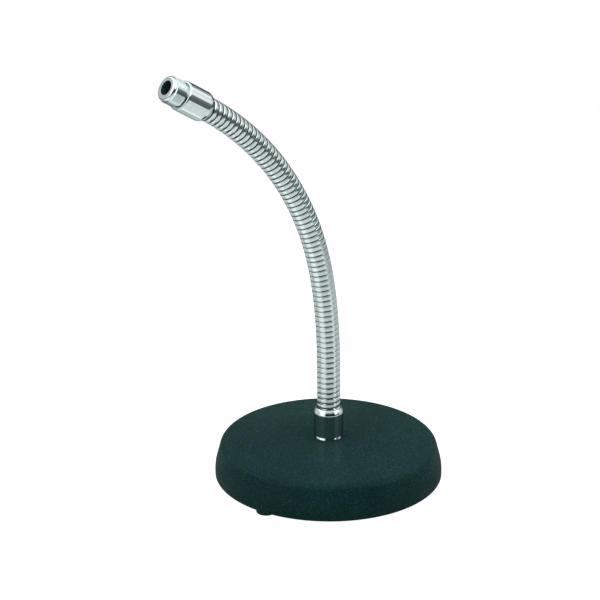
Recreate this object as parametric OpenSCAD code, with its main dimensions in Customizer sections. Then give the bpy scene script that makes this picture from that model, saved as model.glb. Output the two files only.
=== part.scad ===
// Gooseneck table stand: a round cast base on rubber feet, a bendable wound neck
// and a threaded spigot that takes a microphone clip.
// Millimetres. The origin is on the table under the base's axis, +Z up.
// At rest the neck leans toward -X, in the XZ plane.

/* [Base] */
// Diameter of the casting at its bottom edge
base_d = 140; // [120:1:180]
// Height of the casting from its bottom to its rim
base_h = 21.8; // [20:0.1:30]
// Height at which the side wall starts to lean in
base_band_h = 6.8; // [5:0.1:9]
// Lean of the side wall from upright, in degrees
base_draft = 14.5; // [8:0.5:20]
// Radius that blends the upright band into the leaning wall
base_blend_r = 25; // [10:1:30]
// Radius of the rounding along the top rim
base_rim_r = 4.4; // [2:0.1:6]
// Rise of the top from the rim to the neck's seat
base_crown = 2.2; // [0.5:0.1:5]
// Chamfer on the bottom edge
base_edge = 0.6; // [0.2:0.1:1.5]
// Thickness of the casting that the bolt clamps
seat_thick = 11.4; // [8:0.1:13]

/* [Feet] */
// Diameter of a rubber foot
foot_d = 12; // [11:0.5:14]
// Height of a rubber foot
foot_h = 4; // [3.8:0.1:6]
// Distance from the casting's edge in to a foot's centre
foot_inset = 8.5; // [8:0.5:14]
// Turn of the first foot about the base's axis, in degrees
foot_turn = 78; // [0:1:119]
// Rounding on a foot's lower edge
foot_edge = 0.8; // [0.2:0.1:1]
// Thread diameter of a foot screw
foot_screw_d = 4; // [3:0.5:4]
// Thread length of a foot screw
foot_screw_len = 10; // [8:1:12]
// Diameter of a foot screw's head
foot_head_d = 7; // [6.5:0.1:7.6]
// Height of a foot screw's head
foot_head_h = 2.2; // [1.8:0.1:2.6]
// Depth of the head inside the foot
foot_head_sink = 0.6; // [0.2:0.1:1]

/* [Clamp bolt] */
// Thread diameter of the bolt
bolt_d = 10; // [8:1:10]
// Width of the bolt's head across flats
bolt_flats = 16; // [13:0.5:17]
// Height of the bolt's head
bolt_head_h = 6.4; // [5:0.1:7]
// Length of the bolt inside the lower ferrule
bolt_engage = 8.4; // [6:0.1:12]
// Outer diameter of the flat washer
flat_washer_d = 20; // [17:0.5:22]
// Thickness of the flat washer
flat_washer_h = 2; // [1:0.1:2.5]
// Outer diameter of the split spring washer
lock_washer_d = 18; // [15:0.5:18.5]
// Thickness of the split spring washer
lock_washer_h = 2.2; // [1.5:0.1:2.5]
// Room for a socket around the bolt's head
wrench_room = 4.3; // [3:0.1:6]

/* [Ferrules] */
// Outer diameter of both ferrules
ferrule_d = 17.8; // [16.8:0.1:22]
// Length of the shoulder at a ferrule's mouth
shoulder_len = 3.2; // [2:0.1:8]
// Lean of the shoulder where it leaves the ferrule's side, in degrees
shoulder_tilt = 6; // [0:1:10]
// Wall left at a ferrule's mouth
mouth_wall = 0.2; // [0.15:0.05:0.6]
// Rounding of a ferrule's outer end
ferrule_end_r = 0.9; // [0.2:0.1:1.2]
// Height of the bead under the lower ferrule
bead_h = 1.8; // [1:0.1:3]
// Depth of the bead behind the ferrule's side
bead_inset = 0.35; // [0.1:0.05:0.8]
// Lean of the bead's side from upright, in degrees
bead_tilt = 18; // [5:1:30]
// Rounding of the bead's lower edge
bead_edge = 0.4; // [0.2:0.05:0.5]
// Length of neck that each ferrule holds
socket_depth = 6.7; // [5:0.1:9]
// Solid web behind the neck in a ferrule
ferrule_web = 1.7; // [1:0.1:4]

/* [Neck] */
// Length of neck between the two ferrules
neck_len = 231.8; // [200:0.1:280]
// Diameter over the winding
neck_d = 14.3; // [13.6:0.1:14.8]
// Lean of the neck's top from upright, in degrees
neck_lean = 58.3; // [0:0.1:80]
// Length over which the bend grows to its full rate
bend_ramp = 111.5; // [40:0.5:180]
// Links that the neck is divided into
link_count = 22; // [12:1:24]
// Quarter turns of winding in a link
link_quarters = 13; // [10:1:14]
// Gap between one turn of the winding and the next
groove = 0.81; // [0.7:0.01:1.2]
// Radial thickness of the wound strip
strip_thick = 1.35; // [1.1:0.05:1.5]
// Depth of the strip's rounded-off shoulders
strip_crown = 0.65; // [0.3:0.05:0.8]
// Width of the strip's outer face
strip_face = 1.6; // [1:0.1:2.2]
// Thickness of the inner spring's wire
core_wire = 2.1; // [1.5:0.1:2.4]
// Gap between the winding and the inner spring
core_gap = 0.5; // [0.4:0.05:0.8]
// Cut between the ends of neighbouring links
link_cut = 0.4; // [0.3:0.05:0.6]

/* [Spigot] */
// Diameter over the thread, 5/8 inch
thread_d = 15.875; // [12:0.005:16.5]
// Pitch of the thread, 27 to the inch
thread_pitch = 0.9407; // [0.75:0.0001:1.5]
// Length of the threaded end
thread_len = 10.5; // [8:0.5:14]
// Flat on the thread's crests
thread_flat = 0.3; // [0.15:0.05:0.4]
// Rounding at the thread's end
thread_round = 1.4; // [0.6:0.1:1.8]
// Width of the relief between the thread and the upper ferrule
relief_len = 1.2; // [0.8:0.1:2]
// Depth of the relief under the thread's roots
relief_depth = 0.2; // [0.1:0.05:0.4]
// Diameter of the spigot's shank in the upper ferrule
shank_d = 12; // [11:0.1:13]
// Length of the shank
shank_len = 9.4; // [6:0.1:14]
// Diameter of the hole through the spigot
spigot_bore_d = 8.6; // [6:0.1:9.2]

/* [Clearances] */
// Radial gap of a screw or shank in its hole
fit_gap = 0.05; // [0.02:0.01:0.1]
// Radial gap of a washer or a foot around its screw
washer_gap = 0.25; // [0.1:0.05:0.4]
// Radial gap of the bolt in the casting
bolt_gap = 0.5; // [0.2:0.1:1]
// Radial gap of the neck in a ferrule
neck_gap = 0.2; // [0.15:0.05:0.3]
// Gap behind a part that ends in a blind hole
end_gap = 1.5; // [0.5:0.1:2]

/* [Hidden] */
$fn = 96;
foot_count = 3;
quarter_steps = 6;
arc_steps = 8;

casting_z = foot_h;
seat_z = casting_z + base_h + base_crown;
pocket_z = seat_z - seat_thick;
pocket_r = bolt_flats / 2 + wrench_room;
foot_circle_r = base_d / 2 - foot_inset;
foot_head_z = foot_head_sink + foot_head_h;
flat_washer_z = pocket_z - flat_washer_h;
lock_washer_z = flat_washer_z - lock_washer_h;
bolt_len = lock_washer_h + flat_washer_h + seat_thick + bolt_engage;
seat_r = ferrule_d / 2;

neck_total = neck_len + 2 * socket_depth;
link_steps = link_quarters * quarter_steps;
turn_steps = 4 * quarter_steps;
step_count = link_count * link_steps;
step_len = neck_total / step_count;
winding_pitch = step_len * turn_steps;
bend_rate = neck_lean / (neck_len - bend_ramp / 2);
strip_half = (winding_pitch - groove) / 2;
core_r = neck_d / 2 - strip_thick - core_gap - core_wire / 2;

socket_r = neck_d / 2 + neck_gap;
socket_floor = socket_depth + max(strip_half, core_wire / 2) + fit_gap;
tap_depth = bolt_engage + end_gap;
lower_ferrule_h = tap_depth + ferrule_web + socket_floor;
upper_ferrule_h = shank_len + ferrule_web + socket_floor;
neck_z = seat_z + lower_ferrule_h - socket_depth;

thread_depth = 0.58 * thread_pitch;
thread_count = floor((thread_len - relief_len - thread_round) / thread_pitch);

// Lean of the neck's axis at a distance along it from its lower end
function lean(s) =
    let (x = max(0, min(s - socket_depth, neck_len)))
    x < bend_ramp
        ? bend_rate * x * x / (2 * bend_ramp)
        : bend_rate * (x - bend_ramp / 2);

function along(angle) = [-sin(angle), 0, cos(angle)];
function across(angle) = [cos(angle), 0, sin(angle)];

// Points on the neck's axis, one for each step, summed from the lower end
axis_points = [
    for (i = 0, p = [0, 0, neck_z];
         i <= step_count;
         p = p + step_len * along(lean((i + 0.5) * step_len)), i = i + 1)
    p
];

mouth_step = floor((neck_total - socket_depth) / step_len);
mouth_rest = neck_total - socket_depth - mouth_step * step_len;
mouth_point = axis_points[mouth_step] + mouth_rest * along(neck_lean);

// Cross-sections as [radius, height] about a turn's middle
strip_section = [
    [neck_d / 2, -strip_face / 2],
    [neck_d / 2, strip_face / 2],
    [neck_d / 2 - strip_crown, strip_half],
    [neck_d / 2 - strip_thick, 0],
    [neck_d / 2 - strip_crown, -strip_half]
];
core_section = [
    [core_r + core_wire / 2, 0],
    [core_r, core_wire / 2],
    [core_r - core_wire / 2, 0],
    [core_r, -core_wire / 2]
];

// One ring of a right-hand turn at a step, moved along the axis by a small shift
function turn_ring(section, i, shift, phase) =
    let (tilt = lean(i * step_len))
    let (turn = phase + 360 * (i * step_len + shift) / winding_pitch)
    let (out = cos(turn) * across(tilt) + sin(turn) * [0, 1, 0])
    let (centre = axis_points[i] + shift * along(tilt))
    [for (q = section) centre + q[0] * out + q[1] * along(tilt)];

// Rings of one link, cut back a little at both ends
function link_rings(section, k, stride, phase) =
    let (first = (k - 1) * link_steps)
    let (last = k * link_steps)
    let (cut = link_cut / 2 * winding_pitch / (PI * neck_d))
    [
        for (i = [first : stride : last])
        turn_ring(section, i, i == first ? cut : i == last ? -cut : 0, phase)
    ];

// Least distance between the corners of one turn and those of the next
function turn_gap(section, stride) =
    min([
        for (i = [0 : stride : step_count - turn_steps])
        let (low = turn_ring(section, i, 0, 0))
        for (j = [-stride, 0, stride])
        if (i + turn_steps + j <= step_count)
        let (high = turn_ring(section, i + turn_steps + j, 0, 0))
        for (a = low)
        for (b = high)
        norm(a - b)
    ]);

function two_digits(k) = k < 10 ? str("0", k) : str(k);
function winding_name(k) = str("neck_winding_", two_digits(k));
function core_name(k) = str("neck_core_", two_digits(k));
function foot_name(k) = str("foot_", k);

// Points on an arc about a centre, from one angle to another
function arc(centre, radius, from, to) = [
    for (i = [0 : arc_steps])
    let (a = from + (to - from) * i / arc_steps)
    centre + radius * [cos(a), sin(a)]
];

// Outline of the casting, as [radius, height] above its bottom
function casting_outline() =
    let (edge_r = base_d / 2)
    let (blend = base_blend_r * tan(base_draft / 2))
    let (rim_z = base_h - base_rim_r)
    let (wall_h = rim_z + base_rim_r * sin(base_draft) - base_band_h)
    let (rim_x = edge_r - wall_h * tan(base_draft) - base_rim_r * cos(base_draft))
    let (crown_run = rim_x - seat_r)
    concat(
        [[0, 0], [edge_r - base_edge, 0], [edge_r, base_edge]],
        arc([edge_r - base_blend_r, base_band_h - blend], base_blend_r, 0, base_draft),
        arc([rim_x, rim_z], base_rim_r, base_draft, 90 - atan(2 * base_crown / crown_run)),
        [
            for (i = [arc_steps - 1 : -1 : 0])
            let (t = i / arc_steps)
            [seat_r + crown_run * t, base_h + base_crown * (1 - t * t)]
        ],
        [[0, base_h + base_crown]]
    );

// Shoulder of a ferrule, an arc from its side up to its mouth at height h
function shoulder_outline(h) =
    let (r = ferrule_d / 2)
    let (mouth_r = socket_r + mouth_wall)
    let (chord_tilt = atan((r - mouth_r) / shoulder_len))
    let (chord = norm([r - mouth_r, shoulder_len]))
    let (shoulder_r = chord / (2 * sin(chord_tilt - shoulder_tilt)))
    let (centre = [r, h - shoulder_len] - shoulder_r * [cos(shoulder_tilt), sin(shoulder_tilt)])
    arc(centre, shoulder_r, shoulder_tilt, 2 * chord_tilt - shoulder_tilt);

// Outline of the lower ferrule, standing on its bead
function lower_ferrule_outline() =
    let (r = ferrule_d / 2)
    let (edge = [r - bead_inset - bead_edge, bead_edge])
    let (edge_end = edge + bead_edge * [cos(bead_tilt), sin(bead_tilt)])
    concat(
        [[0, 0]],
        arc(edge, bead_edge, -90, bead_tilt),
        [[edge_end[0] - (bead_h - edge_end[1]) * tan(bead_tilt), bead_h]],
        arc([r - bead_inset, bead_h + bead_inset], bead_inset, -90, 0),
        shoulder_outline(lower_ferrule_h),
        [[0, lower_ferrule_h]]
    );

// Outline of the upper ferrule, drawn with its mouth at the top
function upper_ferrule_outline() =
    concat(
        [[0, 0]],
        arc([ferrule_d / 2 - ferrule_end_r, ferrule_end_r], ferrule_end_r, -90, 0),
        shoulder_outline(upper_ferrule_h),
        [[0, upper_ferrule_h]]
    );

// Outline of the threaded spigot, from the shank's end at the bottom
function spigot_outline() =
    let (r = thread_d / 2)
    let (root = r - thread_depth)
    let (relief = root - relief_depth)
    let (vee = (thread_pitch - thread_flat) / 2)
    let (start = shank_len + relief_len)
    let (top = shank_len + thread_len)
    concat(
        [[0, 0], [shank_d / 2, 0], [shank_d / 2, shank_len]],
        [[relief, shank_len], [relief, start - relief_depth]],
        [
            for (i = [0 : thread_count - 1])
            let (z = start + i * thread_pitch)
            each [[root, z], [r, z + vee], [r, z + vee + thread_flat]]
        ],
        [[root, start + thread_count * thread_pitch]],
        arc([root - thread_round, top - thread_round], thread_round, 0, 90),
        [[0, top]]
    );

module at_tip() {
    translate(mouth_point)
    rotate([0, -neck_lean, 0])
    children();
}

module at_feet() {
    for (k = [1 : foot_count]) {
        at_foot(k) children();
    }
}

module at_foot(k) {
    rotate([0, 0, foot_turn + (k - 1) * 360 / foot_count])
    translate([foot_circle_r, 0, 0])
    children();
}

// Closed tube through a list of rings
module ring_tube(rings) {
    n = len(rings);
    m = len(rings[0]);
    sides = [
        for (i = [0 : n - 2])
        for (j = [0 : m - 1])
        let (a = i * m + j)
        let (b = i * m + (j + 1) % m)
        each [[a, b, a + m], [b, b + m, a + m]]
    ];
    start_cap = [for (j = [1 : m - 2]) [0, j + 1, j]];
    end_cap = [for (j = [1 : m - 2]) [(n - 1) * m, (n - 1) * m + j, (n - 1) * m + j + 1]];
    polyhedron(
        points = [for (ring = rings) each ring],
        faces = concat(sides, start_cap, end_cap)
    );
}

module ring(outer_d, inner_d, h) {
    difference() {
        cylinder(d = outer_d, h = h);
        translate([0, 0, -h]) cylinder(d = inner_d, h = 3 * h);
    }
}

module base_casting() {
    color("darkslategray")
    difference() {
        translate([0, 0, casting_z]) rotate_extrude() polygon(casting_outline());
        cylinder(r = pocket_r, h = pocket_z);
        cylinder(d = bolt_d + 2 * bolt_gap, h = seat_z + 1);
        at_feet() cylinder(d = foot_screw_d + 2 * fit_gap, h = foot_head_z + foot_screw_len + end_gap);
    }
}

module foot(k) {
    color("dimgray")
    at_foot(k)
    difference() {
        rotate_extrude()
        polygon(concat(
            [[0, 0]],
            arc([foot_d / 2 - foot_edge, foot_edge], foot_edge, -90, 0),
            [[foot_d / 2, foot_h], [0, foot_h]]
        ));
        translate([0, 0, -1]) cylinder(d = foot_head_d + 2 * washer_gap, h = foot_head_z + 1);
        cylinder(d = foot_screw_d + 2 * washer_gap, h = foot_h + 1);
    }
}

module foot_screws() {
    slot_w = foot_head_d / 7;
    slot_l = foot_head_d * 0.6;
    slot_h = foot_head_h * 0.5;
    color("silver")
    at_feet()
    difference() {
        union() {
            translate([0, 0, foot_head_sink]) cylinder(d = foot_head_d, h = foot_head_h);
            cylinder_on(foot_head_z, foot_screw_d, foot_screw_len);
        }
        for (turn = [0, 90]) {
            rotate([0, 0, turn])
            translate([-slot_l / 2, -slot_w / 2, foot_head_sink - slot_h])
            cube([slot_l, slot_w, 2 * slot_h]);
        }
    }
}

// Plain screw shank that overlaps its head by one diameter's tenth
module cylinder_on(z, d, len) {
    translate([0, 0, z - d / 10]) cylinder(d = d, h = len + d / 10);
}

module clamp_bolt() {
    color("silver")
    union() {
        translate([0, 0, lock_washer_z - bolt_head_h])
        cylinder(d = bolt_flats / cos(30), h = bolt_head_h, $fn = 6);
        cylinder_on(lock_washer_z, bolt_d, bolt_len);
    }
}

module flat_washer() {
    color("silver")
    translate([0, 0, flat_washer_z])
    ring(flat_washer_d, bolt_d + 2 * washer_gap, flat_washer_h);
}

module lock_washer() {
    slit = lock_washer_h;
    color("gray")
    translate([0, 0, lock_washer_z])
    difference() {
        ring(lock_washer_d, bolt_d + 2 * washer_gap, lock_washer_h);
        translate([0, 0, lock_washer_h / 2])
        rotate([30, 0, 0])
        translate([0, -slit / 2, -2 * slit])
        cube([lock_washer_d, slit, 4 * slit]);
    }
}

module lower_ferrule() {
    color("gainsboro")
    translate([0, 0, seat_z])
    difference() {
        rotate_extrude() polygon(lower_ferrule_outline());
        translate([0, 0, -1]) cylinder(d = bolt_d + 2 * fit_gap, h = tap_depth + 1);
        translate([0, 0, lower_ferrule_h - socket_floor]) cylinder(r = socket_r, h = socket_floor + 1);
    }
}

module neck_winding(k) {
    color("gainsboro")
    ring_tube(link_rings(strip_section, k, 2, 0));
}

module neck_core(k) {
    color("gray")
    ring_tube(link_rings(core_section, k, 3, 180));
}

module upper_ferrule() {
    color("gainsboro")
    at_tip()
    translate([0, 0, upper_ferrule_h])
    mirror([0, 0, 1])
    difference() {
        rotate_extrude() polygon(upper_ferrule_outline());
        translate([0, 0, -1]) cylinder(d = shank_d + 2 * fit_gap, h = shank_len + fit_gap + 1);
        cylinder(d = spigot_bore_d, h = upper_ferrule_h);
        translate([0, 0, upper_ferrule_h - socket_floor]) cylinder(r = socket_r, h = socket_floor + 1);
    }
}

module thread_spigot() {
    color("silver")
    at_tip()
    translate([0, 0, upper_ferrule_h - shank_len])
    difference() {
        rotate_extrude() polygon(spigot_outline());
        translate([0, 0, -1]) cylinder(d = spigot_bore_d, h = shank_len + thread_len + 2);
    }
}

links = [1 : link_count];

union() {
    echo(winding_turns = step_count / turn_steps, winding_pitch = winding_pitch);
    echo(least_winding_gap = turn_gap(strip_section, 2));
    echo(least_core_gap = turn_gap(core_section, 3));
    echo(thread_turns = thread_count, neck_seat_z = neck_z);
    for (k = [1 : link_count - 1]) {
        echo(hinge = k, point = axis_points[k * link_steps], lean = lean(k * link_steps * step_len));
    }
    echo(mouth = mouth_point, lean = neck_lean, upper_ferrule_h = upper_ferrule_h);
}

base_casting();
for (k = [1 : foot_count]) {
    foot(k);
}
foot_screws();
clamp_bolt();
flat_washer();
lock_washer();
lower_ferrule();
for (k = links) {
    neck_winding(k);
}
for (k = links) {
    neck_core(k);
}
upper_ferrule();
thread_spigot();
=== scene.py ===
from math import atan2, cos, pi, radians, sin, tan

import bmesh
import bpy
from mathutils import Matrix, Vector


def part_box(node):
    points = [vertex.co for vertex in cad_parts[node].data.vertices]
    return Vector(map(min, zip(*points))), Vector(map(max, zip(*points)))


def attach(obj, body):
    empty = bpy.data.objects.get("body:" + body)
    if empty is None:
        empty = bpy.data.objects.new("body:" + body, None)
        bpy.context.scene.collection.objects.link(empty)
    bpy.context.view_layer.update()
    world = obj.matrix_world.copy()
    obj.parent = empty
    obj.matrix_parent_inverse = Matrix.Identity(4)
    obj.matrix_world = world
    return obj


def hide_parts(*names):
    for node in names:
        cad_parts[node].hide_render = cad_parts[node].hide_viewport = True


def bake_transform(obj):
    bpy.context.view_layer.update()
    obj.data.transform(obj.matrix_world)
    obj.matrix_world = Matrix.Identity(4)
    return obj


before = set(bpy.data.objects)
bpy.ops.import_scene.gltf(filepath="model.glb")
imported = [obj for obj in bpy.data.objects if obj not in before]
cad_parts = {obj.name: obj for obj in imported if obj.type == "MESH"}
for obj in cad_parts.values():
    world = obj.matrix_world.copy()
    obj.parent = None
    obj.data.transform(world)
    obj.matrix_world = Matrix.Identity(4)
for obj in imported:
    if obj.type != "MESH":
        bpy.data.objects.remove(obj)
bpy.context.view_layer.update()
bpy.context.scene.view_settings.view_transform = "Standard"

# Base casting: a heavy round foot of grey iron with a leaning side and a soft rim, turned
# flat underneath, drilled for the clamp bolt with a pocket for the bolt's head, and
# sprayed with a fine-textured, blackish green paint.


def turned(corners, steps, soft=8):
    """Spins an outline of (radius, height, rounding) corners once about Z."""
    long_run, held, seam = 0.002, 0.0003, 1e-7
    bm = bmesh.new()
    points = [bm.verts.new((r, 0, z)) for r, z, _ in corners]
    for a, b in zip(points, points[1:]):
        bm.edges.new((a, b))
    if corners[0][0] > 0:
        bm.edges.new((points[-1], points[0]))
    for size in sorted({c[2] for c in corners} - {0}):
        rounded = [p for p, c in zip(points, corners) if c[2] == size]
        bmesh.ops.bevel(bm, geom=rounded, offset=size, segments=soft, profile=0.5,
                        affect="VERTICES", material=-1)
    # A ring close to each end of a long run keeps the run itself straight in its shading.
    for run in [e for e in bm.edges if e.calc_length() > long_run]:
        length = run.calc_length()
        for end, run_left in zip(run.verts[:], (length, length - held)):
            bmesh.utils.edge_split(run, end, held / run_left)
    bmesh.ops.spin(bm, geom=bm.verts[:] + bm.edges[:], cent=(0, 0, 0), axis=(0, 0, 1),
                   angle=2 * pi, steps=steps, use_merge=True)
    bmesh.ops.remove_doubles(bm, verts=bm.verts[:], dist=seam)
    bmesh.ops.recalc_face_normals(bm, faces=bm.faces[:])
    return bm


def piece(name, bm, finish, crease=32):
    """Makes a smooth-shaded object from a finished bmesh."""
    mesh = bpy.data.meshes.new(name)
    bm.to_mesh(mesh)
    bm.free()
    mesh.polygons.foreach_set("use_smooth", [True] * len(mesh.polygons))
    mesh.set_sharp_from_angle(angle=radians(crease))
    mesh.materials.append(finish)
    thing = bpy.data.objects.new(name, mesh)
    bpy.context.scene.collection.objects.link(thing)
    return thing


def new_finish(name):
    """A new material with its node tree and its shader."""
    finish = bpy.data.materials.new(name)
    finish.use_nodes = True
    return finish, finish.node_tree, finish.node_tree.nodes["Principled BSDF"]


def new_effect(name, inputs, outputs):
    """An empty node group with float inputs and outputs."""
    group = bpy.data.node_groups.new(name, "ShaderNodeTree")
    for label, value in inputs:
        socket = group.interface.new_socket(label, in_out="INPUT", socket_type="NodeSocketFloat")
        socket.default_value = value
    for label in outputs:
        group.interface.new_socket(label, in_out="OUTPUT", socket_type="NodeSocketFloat")
    return group, group.nodes.new("NodeGroupInput"), group.nodes.new("NodeGroupOutput")


def add(tree, kind, **values):
    """A node with its properties and unlinked inputs set by name."""
    node = tree.nodes.new(kind)
    for key, value in values.items():
        if hasattr(node, key):
            setattr(node, key, value)
        else:
            node.inputs[key.replace("_", " ").title()].default_value = value
    return node


def use_effect(tree, group, **values):
    """Places a node group in a material with its own values."""
    return add(tree, "ShaderNodeGroup", node_tree=group, **values)


def two_tone(tree, mask, first, second):
    """Mixes two colours, plain ones or other nodes' outputs, by a mask."""
    mix = add(tree, "ShaderNodeMix", data_type="RGBA")
    tree.links.new(mask, mix.inputs["Factor"])
    for socket, colour in ((mix.inputs["A"], first), (mix.inputs["B"], second)):
        if isinstance(colour, tuple):
            socket.default_value = (*colour, 1)
        else:
            tree.links.new(colour, socket)
    return mix.outputs["Result"]


def between(tree, mask, low, high):
    """Turns a mask into a value between two limits."""
    span = add(tree, "ShaderNodeMapRange", to_min=low, to_max=high)
    tree.links.new(mask, span.inputs["Value"])
    return span.outputs["Result"]


def soft_step(tree, value, start, end):
    """A mask that rises smoothly from 0 at start to 1 at end."""
    step = add(tree, "ShaderNodeMapRange", interpolation_type="SMOOTHSTEP", from_min=start, from_max=end)
    tree.links.new(value, step.inputs["Value"])
    return step.outputs["Result"]


def relief(tree, shader, height, depth, strength):
    """Feeds a height through a bump node to the shader's normal."""
    bump = add(tree, "ShaderNodeBump", distance=depth, strength=strength)
    tree.links.new(height, bump.inputs["Height"])
    tree.links.new(bump.outputs["Normal"], shader.inputs["Normal"])


# Fine grain of a sprayed, moulded or plated skin: a height and a sparse speck.
grain, grain_in, grain_out = new_effect("fine_grain", [("Scale", 1000)], ["Height", "Speck"])
place = add(grain, "ShaderNodeTexCoord").outputs["Object"]
coarse = add(grain, "ShaderNodeTexNoise", detail=3, roughness=0.6)
pits = add(grain, "ShaderNodeTexVoronoi", feature="F1")
for texture in (coarse, pits):
    grain.links.new(place, texture.inputs["Vector"])
    grain.links.new(grain_in.outputs["Scale"], texture.inputs["Scale"])
grain_height = add(grain, "ShaderNodeMath", operation="MULTIPLY")
grain.links.new(coarse.outputs["Fac"], grain_height.inputs[0])
grain.links.new(pits.outputs["Distance"], grain_height.inputs[1])
grain.links.new(grain_height.outputs["Value"], grain_out.inputs["Height"])
grain.links.new(between(grain, pits.outputs["Distance"], 1, 0), grain_out.inputs["Speck"])

# Thin uneven film left by handling and dust: broad clouds broken by fine streaks.
streak_share = 0.35
film_start, film_full = 0.45, 0.95
film, film_in, film_out = new_effect("handling_film", [("Cloud", 30), ("Streak", 400)], ["Mask"])
place = add(film, "ShaderNodeTexCoord").outputs["Object"]
cloud = add(film, "ShaderNodeTexNoise", detail=4, roughness=0.55, distortion=0.8)
streak = add(film, "ShaderNodeTexNoise", detail=2, roughness=0.5)
for texture, label in ((cloud, "Cloud"), (streak, "Streak")):
    film.links.new(place, texture.inputs["Vector"])
    film.links.new(film_in.outputs[label], texture.inputs["Scale"])
both = add(film, "ShaderNodeMath", operation="MULTIPLY_ADD")
both.inputs[1].default_value = streak_share
film.links.new(streak.outputs["Fac"], both.inputs[0])
film.links.new(cloud.outputs["Fac"], both.inputs[2])
film.links.new(soft_step(film, both.outputs["Value"], film_start, film_full), film_out.inputs["Mask"])

base_paint, tree, shader = new_finish("base_paint")
paint_grain = use_effect(tree, grain, scale=1400)
paint_film = use_effect(tree, film, cloud=22, streak=700)
shade = two_tone(tree, paint_film.outputs["Mask"], (0.0080, 0.0405, 0.0405), (0.0122, 0.0530, 0.0520))
speckle = two_tone(tree, between(tree, paint_grain.outputs["Height"], -0.4, 1.6),
                   (0.50, 0.50, 0.50), (1.7, 1.7, 1.7))
tint = add(tree, "ShaderNodeMix", data_type="RGBA", blend_type="MULTIPLY", factor=1)
tree.links.new(shade, tint.inputs["A"])
tree.links.new(speckle, tint.inputs["B"])
tree.links.new(tint.outputs["Result"], shader.inputs["Base Color"])
tree.links.new(between(tree, paint_grain.outputs["Speck"], 0.58, 0.74), shader.inputs["Roughness"])
shader.inputs["Specular IOR Level"].default_value = 0
shader.inputs["Coat Weight"].default_value = 0.08
shader.inputs["Coat Roughness"].default_value = 0.3
shader.inputs["Sheen Weight"].default_value = 0.1
shader.inputs["Sheen Roughness"].default_value = 0.3
relief(tree, shader, paint_grain.outputs["Height"], 0.0006, 0.9)

base_low, base_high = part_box("base_casting")
edge_r, seat_z = base_high.x, base_high.z
seat_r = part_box("lower_ferrule")[1].x
draft = radians(14.5)
band_h, crown_drop = 0.0068, 0.0022
rim_width, rim_reach = 0.0034, 0.0030
band_z = base_low.z + band_h
rim_r = edge_r - (seat_z - crown_drop - band_z) * tan(draft)
crown_run = rim_r - rim_width - seat_r
crown_soft = 0.48 * crown_run
rim_z = seat_z - crown_drop - 2 * crown_drop / crown_run * rim_reach
rim_soft, band_soft, edge_soft = 0.00314, 0.00318, 0.0006
bolt_hole_r, bolt_hole_soft, bolt_grip = 0.0055, 0.0004, 0.0114
pocket_r, pocket_edge_soft, pocket_soft = 0.0123, 0.0005, 0.001
pocket_z = seat_z - bolt_grip
base = piece("cast_base", turned([
    (bolt_hole_r, seat_z, 0),
    (seat_r, seat_z, 0),
    (seat_r + crown_run / 2, seat_z, crown_soft),
    (rim_r, rim_z, rim_soft),
    (edge_r, band_z, band_soft),
    (edge_r, base_low.z, edge_soft),
    (pocket_r, base_low.z, pocket_edge_soft),
    (pocket_r, pocket_z, pocket_soft),
    (bolt_hole_r, pocket_z, bolt_hole_soft),
], steps=160, soft=10), base_paint)
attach(base, "base")
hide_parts("base_casting")

# Feet: three of moulded black rubber with a rounded lower edge and a sunk hole, each held
# to the casting's underside by one screw.


def filmed(tree, shader, mask, bare, dulled, smooth, rough):
    """Lets the handling film shift a plain finish in colour and roughness."""
    tree.links.new(two_tone(tree, mask, bare, dulled), shader.inputs["Base Color"])
    tree.links.new(between(tree, mask, smooth, rough), shader.inputs["Roughness"])


rubber, tree, shader = new_finish("foot_rubber")
rubber_grain = use_effect(tree, grain, scale=2600)
rubber_film = use_effect(tree, film, cloud=160, streak=1500)
filmed(tree, shader, rubber_film.outputs["Mask"], (0.009, 0.03, 0.03), (0.022, 0.05, 0.048), 0.55, 0.8)
shader.inputs["Specular IOR Level"].default_value = 0.1
relief(tree, shader, rubber_grain.outputs["Height"], 0.00006, 0.5)

screw_hole_r, head_hole_r, head_seat = 0.00225, 0.00375, 0.0028
foot_soft, tread_soft = 0.0003, 0.0008
for number in (1, 2, 3):
    node = f"foot_{number}"
    foot_low, foot_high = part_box(node)
    foot_r = (foot_high.x - foot_low.x) / 2
    foot_h = foot_high.z
    bm = turned([
        (screw_hole_r, foot_h, 0),
        (foot_r, foot_h, foot_soft),
        (foot_r, 0, tread_soft),
        (head_hole_r, 0, foot_soft),
        (head_hole_r, head_seat, 0),
        (screw_hole_r, head_seat, 0),
    ], steps=48, soft=5)
    bmesh.ops.translate(bm, verts=bm.verts[:], vec=((foot_low + foot_high) / 2).to_2d().to_3d())
    foot = piece(f"rubber_foot_{number}", bm, rubber)
    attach(foot, "base")
    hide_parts(node)

# Fasteners: zinc-plated steel, three foot screws, and the clamp bolt with its flat and
# spring washers, which draws the lower ferrule down on the casting.
zinc, tree, shader = new_finish("zinc_plate")
zinc_grain = use_effect(tree, grain, scale=900)
zinc_film = use_effect(tree, film, cloud=180, streak=2200)
filmed(tree, shader, zinc_film.outputs["Mask"], (0.36, 0.37, 0.38), (0.58, 0.58, 0.55), 0.28, 0.5)
shader.inputs["Metallic"].default_value = 1
relief(tree, shader, zinc_grain.outputs["Height"], 0.00004, 0.4)
for node in ("foot_screws", "clamp_bolt", "flat_washer", "lock_washer"):
    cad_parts[node].data.materials.clear()
    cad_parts[node].data.materials.append(zinc)

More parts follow.
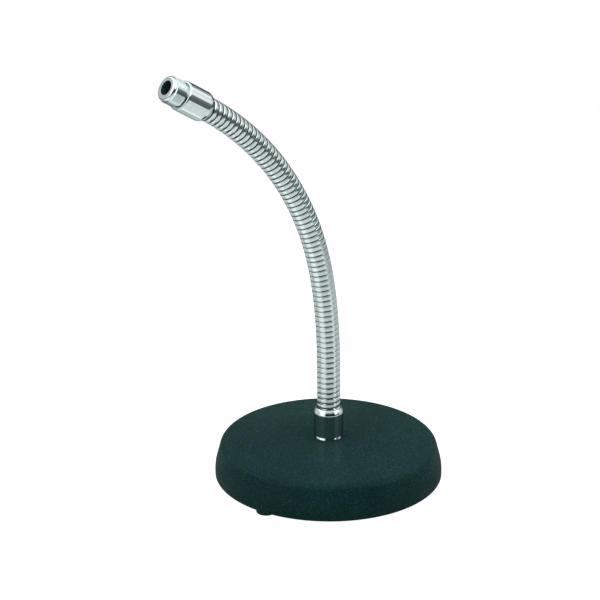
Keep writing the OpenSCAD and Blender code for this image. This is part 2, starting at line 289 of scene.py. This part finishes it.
# Lower ferrule: a turned brass sleeve, polished and chrome plated, with a bead at its foot,
# a plain barrel and a curved shoulder up to the thin mouth that grips the neck. The clamp
# bolt is screwed into it from below.
chrome, tree, shader = new_finish("chrome_plate")
chrome_film = use_effect(tree, film, cloud=70, streak=900)
chrome_grain = use_effect(tree, grain, scale=700)
filmed(tree, shader, chrome_film.outputs["Mask"], (0.68, 0.765, 0.755), (0.62, 0.71, 0.70), 0.04, 0.1)
shader.inputs["Metallic"].default_value = 1
shader.inputs["Specular Tint"].default_value = (0.25, 0.33, 0.33, 1)
relief(tree, shader, chrome_grain.outputs["Height"], 0.000006, 0.25)

ferrule_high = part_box("lower_ferrule")[1]
ferrule_r, mouth_z = ferrule_high.x, ferrule_high.z
neck_r, neck_gap, lip_wall = 0.00715, 0.0002, 0.0002
socket_r = neck_r + neck_gap
mouth_r = socket_r + lip_wall
lip_soft, lip_bore_soft = 0.0001, 0.00005
socket_depth, floor_gap = 0.0067, 0.00136
socket_floor = socket_depth + floor_gap
shoulder_h, shoulder_rise, shoulder_in, shoulder_soft = 0.0032, 0.0018, 0.00019, 0.00178
tap_r, tap_depth = 0.00505, 0.0099
bead_h, bead_foot_in, bead_waist_in = 0.0018, 0.00022, 0.00091
bead_soft, barrel_soft = 0.0005, 0.00035
lower_ferrule = piece("lower_ferrule_sleeve", turned([
    (0, seat_z + tap_depth, 0),
    (tap_r, seat_z + tap_depth, 0),
    (tap_r, seat_z, 0),
    (ferrule_r - bead_foot_in, seat_z, bead_soft),
    (ferrule_r - bead_waist_in, seat_z + bead_h, 0),
    (ferrule_r, seat_z + bead_h, barrel_soft),
    (ferrule_r, mouth_z - shoulder_h, 0),
    (ferrule_r - shoulder_in, mouth_z - shoulder_h + shoulder_rise, shoulder_soft),
    (mouth_r, mouth_z, lip_soft),
    (socket_r, mouth_z, lip_bore_soft),
    (socket_r, mouth_z - socket_floor, 0),
    (0, mouth_z - socket_floor, 0),
], steps=96), chrome)
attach(lower_ferrule, "base")
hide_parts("lower_ferrule")

# Neck winding: the gooseneck's skin, one long chrome-plated steel strip wound in a
# right-hand helix that stays as it is bent. It is made in lengths from the middle of one
# link to the middle of the next, each wound round the neck's bent axis.
links, turns_per_link = 22, 3.25
neck_len = 0.2318
neck_total = neck_len + 2 * socket_depth
neck_z = mouth_z - socket_depth
link_len = neck_total / links
pitch = link_len / turns_per_link
bend_ramp = 0.1115
tip_lean = radians(58.3)
bend_rate = tip_lean / (neck_len - bend_ramp / 2)


def lean(s):
    """Lean of the neck's axis at a distance from its lower end."""
    x = min(max(s - socket_depth, 0), neck_len)
    return bend_rate * (x * x / (2 * bend_ramp) if x < bend_ramp else x - bend_ramp / 2)


axis_steps = 1716
axis_step = neck_total / axis_steps
axis_points = [Vector((0, 0, neck_z))]
for i in range(axis_steps):
    a = lean((i + 0.5) * axis_step)
    axis_points.append(axis_points[-1] + axis_step * Vector((-sin(a), 0, cos(a))))


def on_axis(s):
    """Point on the neck's axis at a distance from its lower end."""
    i = min(max(int(s / axis_step), 0), axis_steps - 1)
    a = lean(s)
    return axis_points[i] + (s - i * axis_step) * Vector((-sin(a), 0, cos(a)))


def wound(section, start, end, phase, turn_steps):
    """Winds a closed (radius, height) section round the neck's bent axis."""
    bm = bmesh.new()
    points = [bm.verts.new((r, 0, z)) for r, z in section]
    loop = [bm.edges.new((a, b)) for a, b in zip(points, points[1:] + points[:1])]
    bmesh.ops.rotate(bm, verts=points, cent=(0, 0, 0),
                     matrix=Matrix.Rotation(2 * pi * start / pitch + phase, 3, "Z"))
    bmesh.ops.translate(bm, verts=points, vec=(0, 0, start))
    rise = end - start
    steps = round(turn_steps * rise / pitch)
    bmesh.ops.spin(bm, geom=points + loop, cent=(0, 0, 0), axis=(0, 0, 1),
                   dvec=(0, 0, rise / steps), angle=2 * pi * rise / pitch, steps=steps)
    bmesh.ops.holes_fill(bm, edges=[e for e in bm.edges if e.is_boundary], sides=len(section))
    bmesh.ops.recalc_face_normals(bm, faces=bm.faces[:])
    # The map counts turns: across the strip from its middle, and along the helix.
    lay = bm.loops.layers.uv.new("strip")
    for f in bm.faces:
        for corner in f.loops:
            x, y, z = corner.vert.co
            across = (z / pitch - (atan2(y, x) - phase) / (2 * pi) + 0.5) % 1 - 0.5
            corner[lay].uv = (across, z / pitch - across)
    for v in bm.verts:
        a = lean(v.co.z)
        v.co = on_axis(v.co.z) + v.co.x * Vector((cos(a), 0, sin(a))) + v.co.y * Vector((0, 1, 0))
    return bm


groove_w = 0.0007
strip_half = (pitch - groove_w) / 2
face_sag, lip_r = 0.00005, 0.00037
face_shares, lip_angles = (0.25, 0.65, 1), (0.4, 0.65, 0.9, 1.15, 1.4)
face_half = strip_half - 0.9 * lip_r
face_slope = 2 * face_sag / face_half
half_face = [
    (neck_r - face_sag * t * t, face_half * t) for t in face_shares
] + [
    (neck_r - face_sag - lip_r * (cos(face_slope) - cos(a)),
     face_half + lip_r * (sin(a) - sin(face_slope)))
    for a in lip_angles
]
under, foot_top, foot_bottom = neck_r - 0.001, neck_r - 0.00105, neck_r - 0.0013
foot_bend, tuck = 0.0001, 0.00095
strip_section = [(under, -0.95 * strip_half)] + [(r, -z) for r, z in reversed(half_face)] + half_face + [
    (foot_top + foot_bend, strip_half),
    (foot_top, strip_half + foot_bend),
    (foot_top, strip_half + tuck),
    (foot_bottom, strip_half + tuck),
    (foot_bottom, 0.2 * strip_half),
    (under, 0.1 * strip_half),
]

rigid_end = 0.0015
bend_reach = link_len / 2 - rigid_end
spans = []
for k in range(1, links):
    start = 0 if k == 1 else (k - 0.5) * link_len
    end = neck_total if k == links - 1 else (k + 0.5) * link_len
    spans.append((k, start, end, on_axis(k * link_len - bend_reach), on_axis(k * link_len + bend_reach)))

drawn_chrome, tree, shader = new_finish("drawn_chrome_strip")
strip_film = use_effect(tree, film, cloud=60, streak=1100)
strip_map = add(tree, "ShaderNodeUVMap", uv_map="strip")
strip_place = add(tree, "ShaderNodeSeparateXYZ")
tree.links.new(strip_map.outputs["UV"], strip_place.inputs["Vector"])
from_middle = add(tree, "ShaderNodeMath", operation="ABSOLUTE")
tree.links.new(strip_place.outputs["X"], from_middle.inputs[0])
# The strip is painted darker at its edges, in the grooves between the turns: painted shade, which grows
# darker along the bent upper part.
groove_edge, groove_side = 0.345, 0.395
first_shaded_turn, full_shaded_turn = 30, 54
groove_shade_mask = soft_step(tree, from_middle.outputs["Value"], groove_edge, groove_side)
upper_shade_mask = soft_step(tree, strip_place.outputs["Y"], first_shaded_turn, full_shaded_turn)
groove_shade_tint = two_tone(tree, upper_shade_mask, (0.52, 0.59, 0.59), (0.28, 0.34, 0.34))
plate_tint = two_tone(tree, strip_film.outputs["Mask"], (0.68, 0.765, 0.755), (0.60, 0.69, 0.68))
# Painted shade in the grooves is laid over the plated tint.
tree.links.new(two_tone(tree, groove_shade_mask, plate_tint, groove_shade_tint), shader.inputs["Base Color"])
tree.links.new(between(tree, strip_film.outputs["Mask"], 0.1, 0.15), shader.inputs["Roughness"])
shader.inputs["Metallic"].default_value = 1
shader.inputs["Anisotropic"].default_value = 0.9
shader.inputs["Specular Tint"].default_value = (0.5, 0.58, 0.58, 1)
drawing = add(tree, "ShaderNodeTangent", direction_type="UV_MAP", uv_map="strip")
tree.links.new(drawing.outputs["Tangent"], shader.inputs["Tangent"])

end_cut = 0.001
for k, start, end, below, above in spans:
    stop = end - end_cut if k == links - 1 else end
    strip = piece(f"neck_strip_{k:02d}", wound(strip_section, start, stop, 0, 48), drawn_chrome, crease=50)
    nodes = [f"neck_winding_{k:02d}", f"neck_winding_{k + 1:02d}"]
    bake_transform(strip)
    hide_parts(*(nodes if k == links - 1 else nodes[:1]))

# Neck core: inside the skin runs a spring of round, oil-blackened steel wire that makes the
# neck stay where it is put; it shows as dark lines between the turns.
core_steel, tree, shader = new_finish("oiled_spring_steel")
core_film = use_effect(tree, film, cloud=150, streak=1200)
filmed(tree, shader, core_film.outputs["Mask"], (0.03, 0.036, 0.037), (0.075, 0.082, 0.082), 0.3, 0.5)
shader.inputs["Metallic"].default_value = 1

core_r, wire_r = 0.00425, 0.00105
wire_section = [(core_r + wire_r * cos(radians(t)), wire_r * sin(radians(t))) for t in range(0, 360, 36)]
for k, start, end, below, above in spans:
    wire = piece(f"neck_wire_{k:02d}", wound(wire_section, start, end, pi, 32), core_steel, crease=60)
    nodes = [f"neck_core_{k:02d}", f"neck_core_{k + 1:02d}"]
    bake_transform(wire)
    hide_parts(*(nodes if k == links - 1 else nodes[:1]))

# Upper ferrule: the same chrome-plated sleeve at the neck's top, turned over. Its mouth
# grips the neck, and its rounded end is bored for the spigot's shank.
mouth = on_axis(neck_total - socket_depth)
at_tip = Matrix.Translation(mouth) @ Matrix.Rotation(-tip_lean, 4, "Y")
upper_h, upper_soft = 0.0191597, 0.0009
shank_len, shank_hole_r, shank_hole_soft = 0.0094, 0.00605, 0.0001
bore_r = 0.0043
bm = turned([
    (bore_r, socket_floor, 0),
    (socket_r, socket_floor, 0),
    (socket_r, 0, lip_bore_soft),
    (mouth_r, 0, lip_soft),
    (ferrule_r - shoulder_in, shoulder_h - shoulder_rise, shoulder_soft),
    (ferrule_r, shoulder_h, 0),
    (ferrule_r, upper_h, upper_soft),
    (shank_hole_r, upper_h, shank_hole_soft),
    (shank_hole_r, upper_h - shank_len, 0),
    (bore_r, upper_h - shank_len, 0),
], steps=96)
bmesh.ops.transform(bm, matrix=at_tip, verts=bm.verts[:])
upper_ferrule = piece("upper_ferrule_sleeve", bm, chrome)
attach(upper_ferrule, "tip")
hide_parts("upper_ferrule")

# Threaded spigot: the end that takes a microphone clip, a plated tube pressed into the
# upper ferrule, with a fine rolled thread, an undercut next to the ferrule and a rounded
# nose round the bore.
# The bore's faces get a near-black matt finish: painted shade inside the bore.
shaded_bore, tree, shader = new_finish("shaded_bore")
bore_film = use_effect(tree, film, cloud=220, streak=1600)
filmed(tree, shader, bore_film.outputs["Mask"], (0.02, 0.062, 0.052), (0.035, 0.09, 0.078), 0.5, 0.75)
shader.inputs["Specular IOR Level"].default_value = 0.2

thread_r, thread_pitch, threads = 0.0079375, 0.0009407, 8
root_r = thread_r - 0.58 * thread_pitch
thread_len, undercut_len, undercut = 0.0105, 0.0012, 0.0002
shank_r, shank_soft = 0.006, 0.0002
nose_soft, bore_soft = 0.0014, 0.00015
spigot_top = upper_h + thread_len
bm = turned([
    (bore_r, upper_h - shank_len, shank_soft),
    (shank_r, upper_h - shank_len, shank_soft),
    (shank_r, upper_h, 0),
    (root_r - undercut, upper_h, 0),
    (root_r - undercut, upper_h + undercut_len - undercut, 0),
    (root_r, upper_h + undercut_len, 0),
    (root_r, spigot_top, nose_soft),
    (bore_r, spigot_top, bore_soft),
], steps=96)
crest_w, ridge_root, ridge_steps = 0.0003, 0.0001, 64
flank = (thread_pitch - crest_w) / 2
ridge = bmesh.new()
ridge_start = upper_h + undercut_len
corners = [ridge.verts.new((r, 0, ridge_start + z)) for r, z in (
    (root_r - ridge_root, 0),
    (thread_r, flank),
    (thread_r, flank + crest_w),
    (root_r - ridge_root, thread_pitch),
)]
loop = [ridge.edges.new((a, b)) for a, b in zip(corners, corners[1:] + corners[:1])]
bmesh.ops.spin(ridge, geom=corners + loop, cent=(0, 0, 0), axis=(0, 0, 1),
               dvec=(0, 0, thread_pitch / ridge_steps), angle=2 * pi * (threads - 1),
               steps=ridge_steps * (threads - 1))
bmesh.ops.holes_fill(ridge, edges=[e for e in ridge.edges if e.is_boundary], sides=4)
bmesh.ops.recalc_face_normals(ridge, faces=ridge.faces[:])
ridge_mesh = bpy.data.meshes.new("spigot_ridge")
ridge.to_mesh(ridge_mesh)
ridge.free()
bm.from_mesh(ridge_mesh)
bpy.data.meshes.remove(ridge_mesh)
bore_skin = 0.0001
# Faces inside the bore take the painted-shade finish.
for f in bm.faces:
    if all(v.co.to_2d().length < bore_r + bore_skin for v in f.verts):
        f.material_index = 1
bmesh.ops.transform(bm, matrix=at_tip, verts=bm.verts[:])
spigot = piece("threaded_spigot", bm, chrome)
spigot.data.materials.append(shaded_bore)
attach(spigot, "tip")
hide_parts("thread_spigot")

# Floor, light and camera: a white light table in a tent of broad soft boxes. The camera
# stands in front of the stand, a little to its left and above it, with a long lens.
front = Vector((-0.5713, -0.8208, 0))
right = Vector((0.8208, -0.5713, 0))


def toward(tree, place, direction):
    """How far a place or a ray lies along a direction."""
    dot = add(tree, "ShaderNodeVectorMath", operation="DOT_PRODUCT")
    dot.inputs[1].default_value = direction
    tree.links.new(place, dot.inputs[0])
    return dot.outputs["Value"]


def degrees_of(tree, kind, *values):
    """Turns the result of a trigonometric node into degrees."""
    angle = add(tree, "ShaderNodeMath", operation=kind)
    for socket, value in zip(angle.inputs, values):
        tree.links.new(value, socket)
    turn = add(tree, "ShaderNodeMath", operation="DEGREES")
    tree.links.new(angle.outputs["Value"], turn.inputs[0])
    return turn.outputs["Value"]


def stops(tree, value, low, high, levels):
    """A ramp of grey (degrees, level) stops over a range of degrees."""
    span = add(tree, "ShaderNodeMapRange", from_min=low, from_max=high)
    tree.links.new(value, span.inputs["Value"])
    ramp = add(tree, "ShaderNodeValToRGB")
    while len(ramp.color_ramp.elements) < len(levels):
        ramp.color_ramp.elements.new(0.5)
    for element, (degrees, level) in zip(ramp.color_ramp.elements, levels):
        element.position = (degrees - low) / (high - low)
        element.color = (level, level, level, 1)
    tree.links.new(span.outputs["Result"], ramp.inputs["Fac"])
    return ramp.outputs["Color"]


floor_finish, tree, shader = new_finish("studio_floor")
floor_film = use_effect(tree, film, cloud=3, streak=40)
tree.links.new(two_tone(tree, floor_film.outputs["Mask"], (0.28, 0.28, 0.28), (0.29, 0.29, 0.29)),
               shader.inputs["Base Color"])
shader.inputs["Roughness"].default_value = 1
shader.inputs["Specular IOR Level"].default_value = 0
shader.inputs["Emission Strength"].default_value = 1
place = add(tree, "ShaderNodeTexCoord").outputs["Object"]
around = degrees_of(tree, "ARCTAN2", toward(tree, place, right), toward(tree, place, front))
glow = stops(tree, around, -180, 180, (
    (-180, 0.5), (-128, 0.46), (-104, 0.43), (-97, 0.2), (-86, 0.2), (-79, 0.42), (-72, 0.7), (-30, 0.7),
    (-22, 0.43), (48, 0.43), (54, 0.68), (68, 0.68), (76, 0.42), (83, 0.2), (93, 0.2), (100, 0.42),
    (128, 0.5)))
# The table is brightest from straight above and fades at a slant.
slant = add(tree, "ShaderNodeLayerWeight")
fade = add(tree, "ShaderNodeMapRange", from_min=0.3, from_max=0.72, to_min=1.25, to_max=0.8)
tree.links.new(slant.outputs["Facing"], fade.inputs["Value"])
faded = add(tree, "ShaderNodeVectorMath", operation="SCALE")
tree.links.new(glow, faded.inputs[0])
tree.links.new(fade.outputs["Result"], faded.inputs["Scale"])
glow = faded.outputs["Vector"]
# It looks white, and lights nothing but reflections.
ray = add(tree, "ShaderNodeLightPath")
for kind, level in (("Is Camera Ray", (1, 1, 1)), ("Is Diffuse Ray", (0, 0, 0))):
    glow = two_tone(tree, ray.outputs[kind], glow, level)
tree.links.new(glow, shader.inputs["Emission Color"])
floor_r = 0.65
bm = bmesh.new()
bmesh.ops.create_circle(bm, cap_ends=True, segments=96, radius=floor_r)
floor = piece("studio_floor", bm, floor_finish)

# The tent: three rings of boxes, one above the other, under a plain roof. Degrees count to
# the right from the side where the camera stands, and upward from the horizon.
world = bpy.data.worlds.new("studio")
bpy.context.scene.world = world
world.use_nodes = True
sky = world.node_tree
way = add(sky, "ShaderNodeTexCoord").outputs["Generated"]
azimuth = degrees_of(sky, "ARCTAN2", toward(sky, way, right), toward(sky, way, front))
height = degrees_of(sky, "ARCSINE", toward(sky, way, (0, 0, 1)))
far_wall = stops(sky, azimuth, -180, 180, (
    (-180, 0.15), (-150, 0.15), (-130, 0.8), (-76, 0.9), (-71, 1.5), (-40, 1.5), (-22, 0.008),
    (50, 0.008), (62, 0.06), (74, 0.15), (90, 0.25), (98, 0.9), (132, 0.9), (146, 0.15)))
lower_ring = stops(sky, azimuth, -180, 180, (
    (-180, 0.1), (-150, 0.3), (-135, 0.65), (-76, 0.65), (-71, 1.4), (-40, 1.4), (-22, 0.008), (52, 0.008),
    (56, 3.4), (70, 3.4), (76, 1.1), (104, 1.1), (112, 0.5), (150, 0.5), (165, 0.15), (180, 0.1)))
upper_ring = stops(sky, azimuth, -180, 180, (
    (-180, 0.1), (-150, 0.3), (-135, 2.0), (-76, 2.0), (-71, 2.3), (-40, 2.3), (-22, 0.4), (52, 0.4),
    (56, 4.0), (72, 4.0), (77, 2.0), (104, 2.0), (112, 1.6), (148, 1.6), (162, 0.1), (180, 0.08)))


def sky_above(start, end):
    """A mask of the sky above a height, soft from start to end."""
    return stops(sky, height, -90, 90, ((-90, 0), (start, 0), (end, 1), (90, 1)))


rings = two_tone(sky, sky_above(9, 12), far_wall, two_tone(sky, sky_above(21, 25), lower_ring, upper_ring))
least = add(sky, "ShaderNodeMix", data_type="RGBA", blend_type="LIGHTEN", factor=1,
            b=(0.008, 0.035, 0.033, 1))
sky.links.new(rings, least.inputs["A"])
walls = two_tone(sky, sky_above(-5, -1), (0.12, 0.14, 0.14), least.outputs["Result"])
light = two_tone(sky, sky_above(34, 50), walls, (1.3, 1.3, 1.3))
seen = add(sky, "ShaderNodeLightPath")
backdrop = two_tone(sky, seen.outputs["Is Camera Ray"], light, (1, 1, 1))
sky.links.new(backdrop, sky.nodes["Background"].inputs["Color"])

lens = bpy.data.cameras.new("camera")
lens.sensor_width = 36
lens.lens = 130.62
camera = bpy.data.objects.new("camera", lens)
camera.location = (-0.6992, -1.0052, 0.5825)
camera.rotation_euler = (radians(69.204), 0, radians(-34))
bpy.context.scene.collection.objects.link(camera)
bpy.context.scene.camera = camera
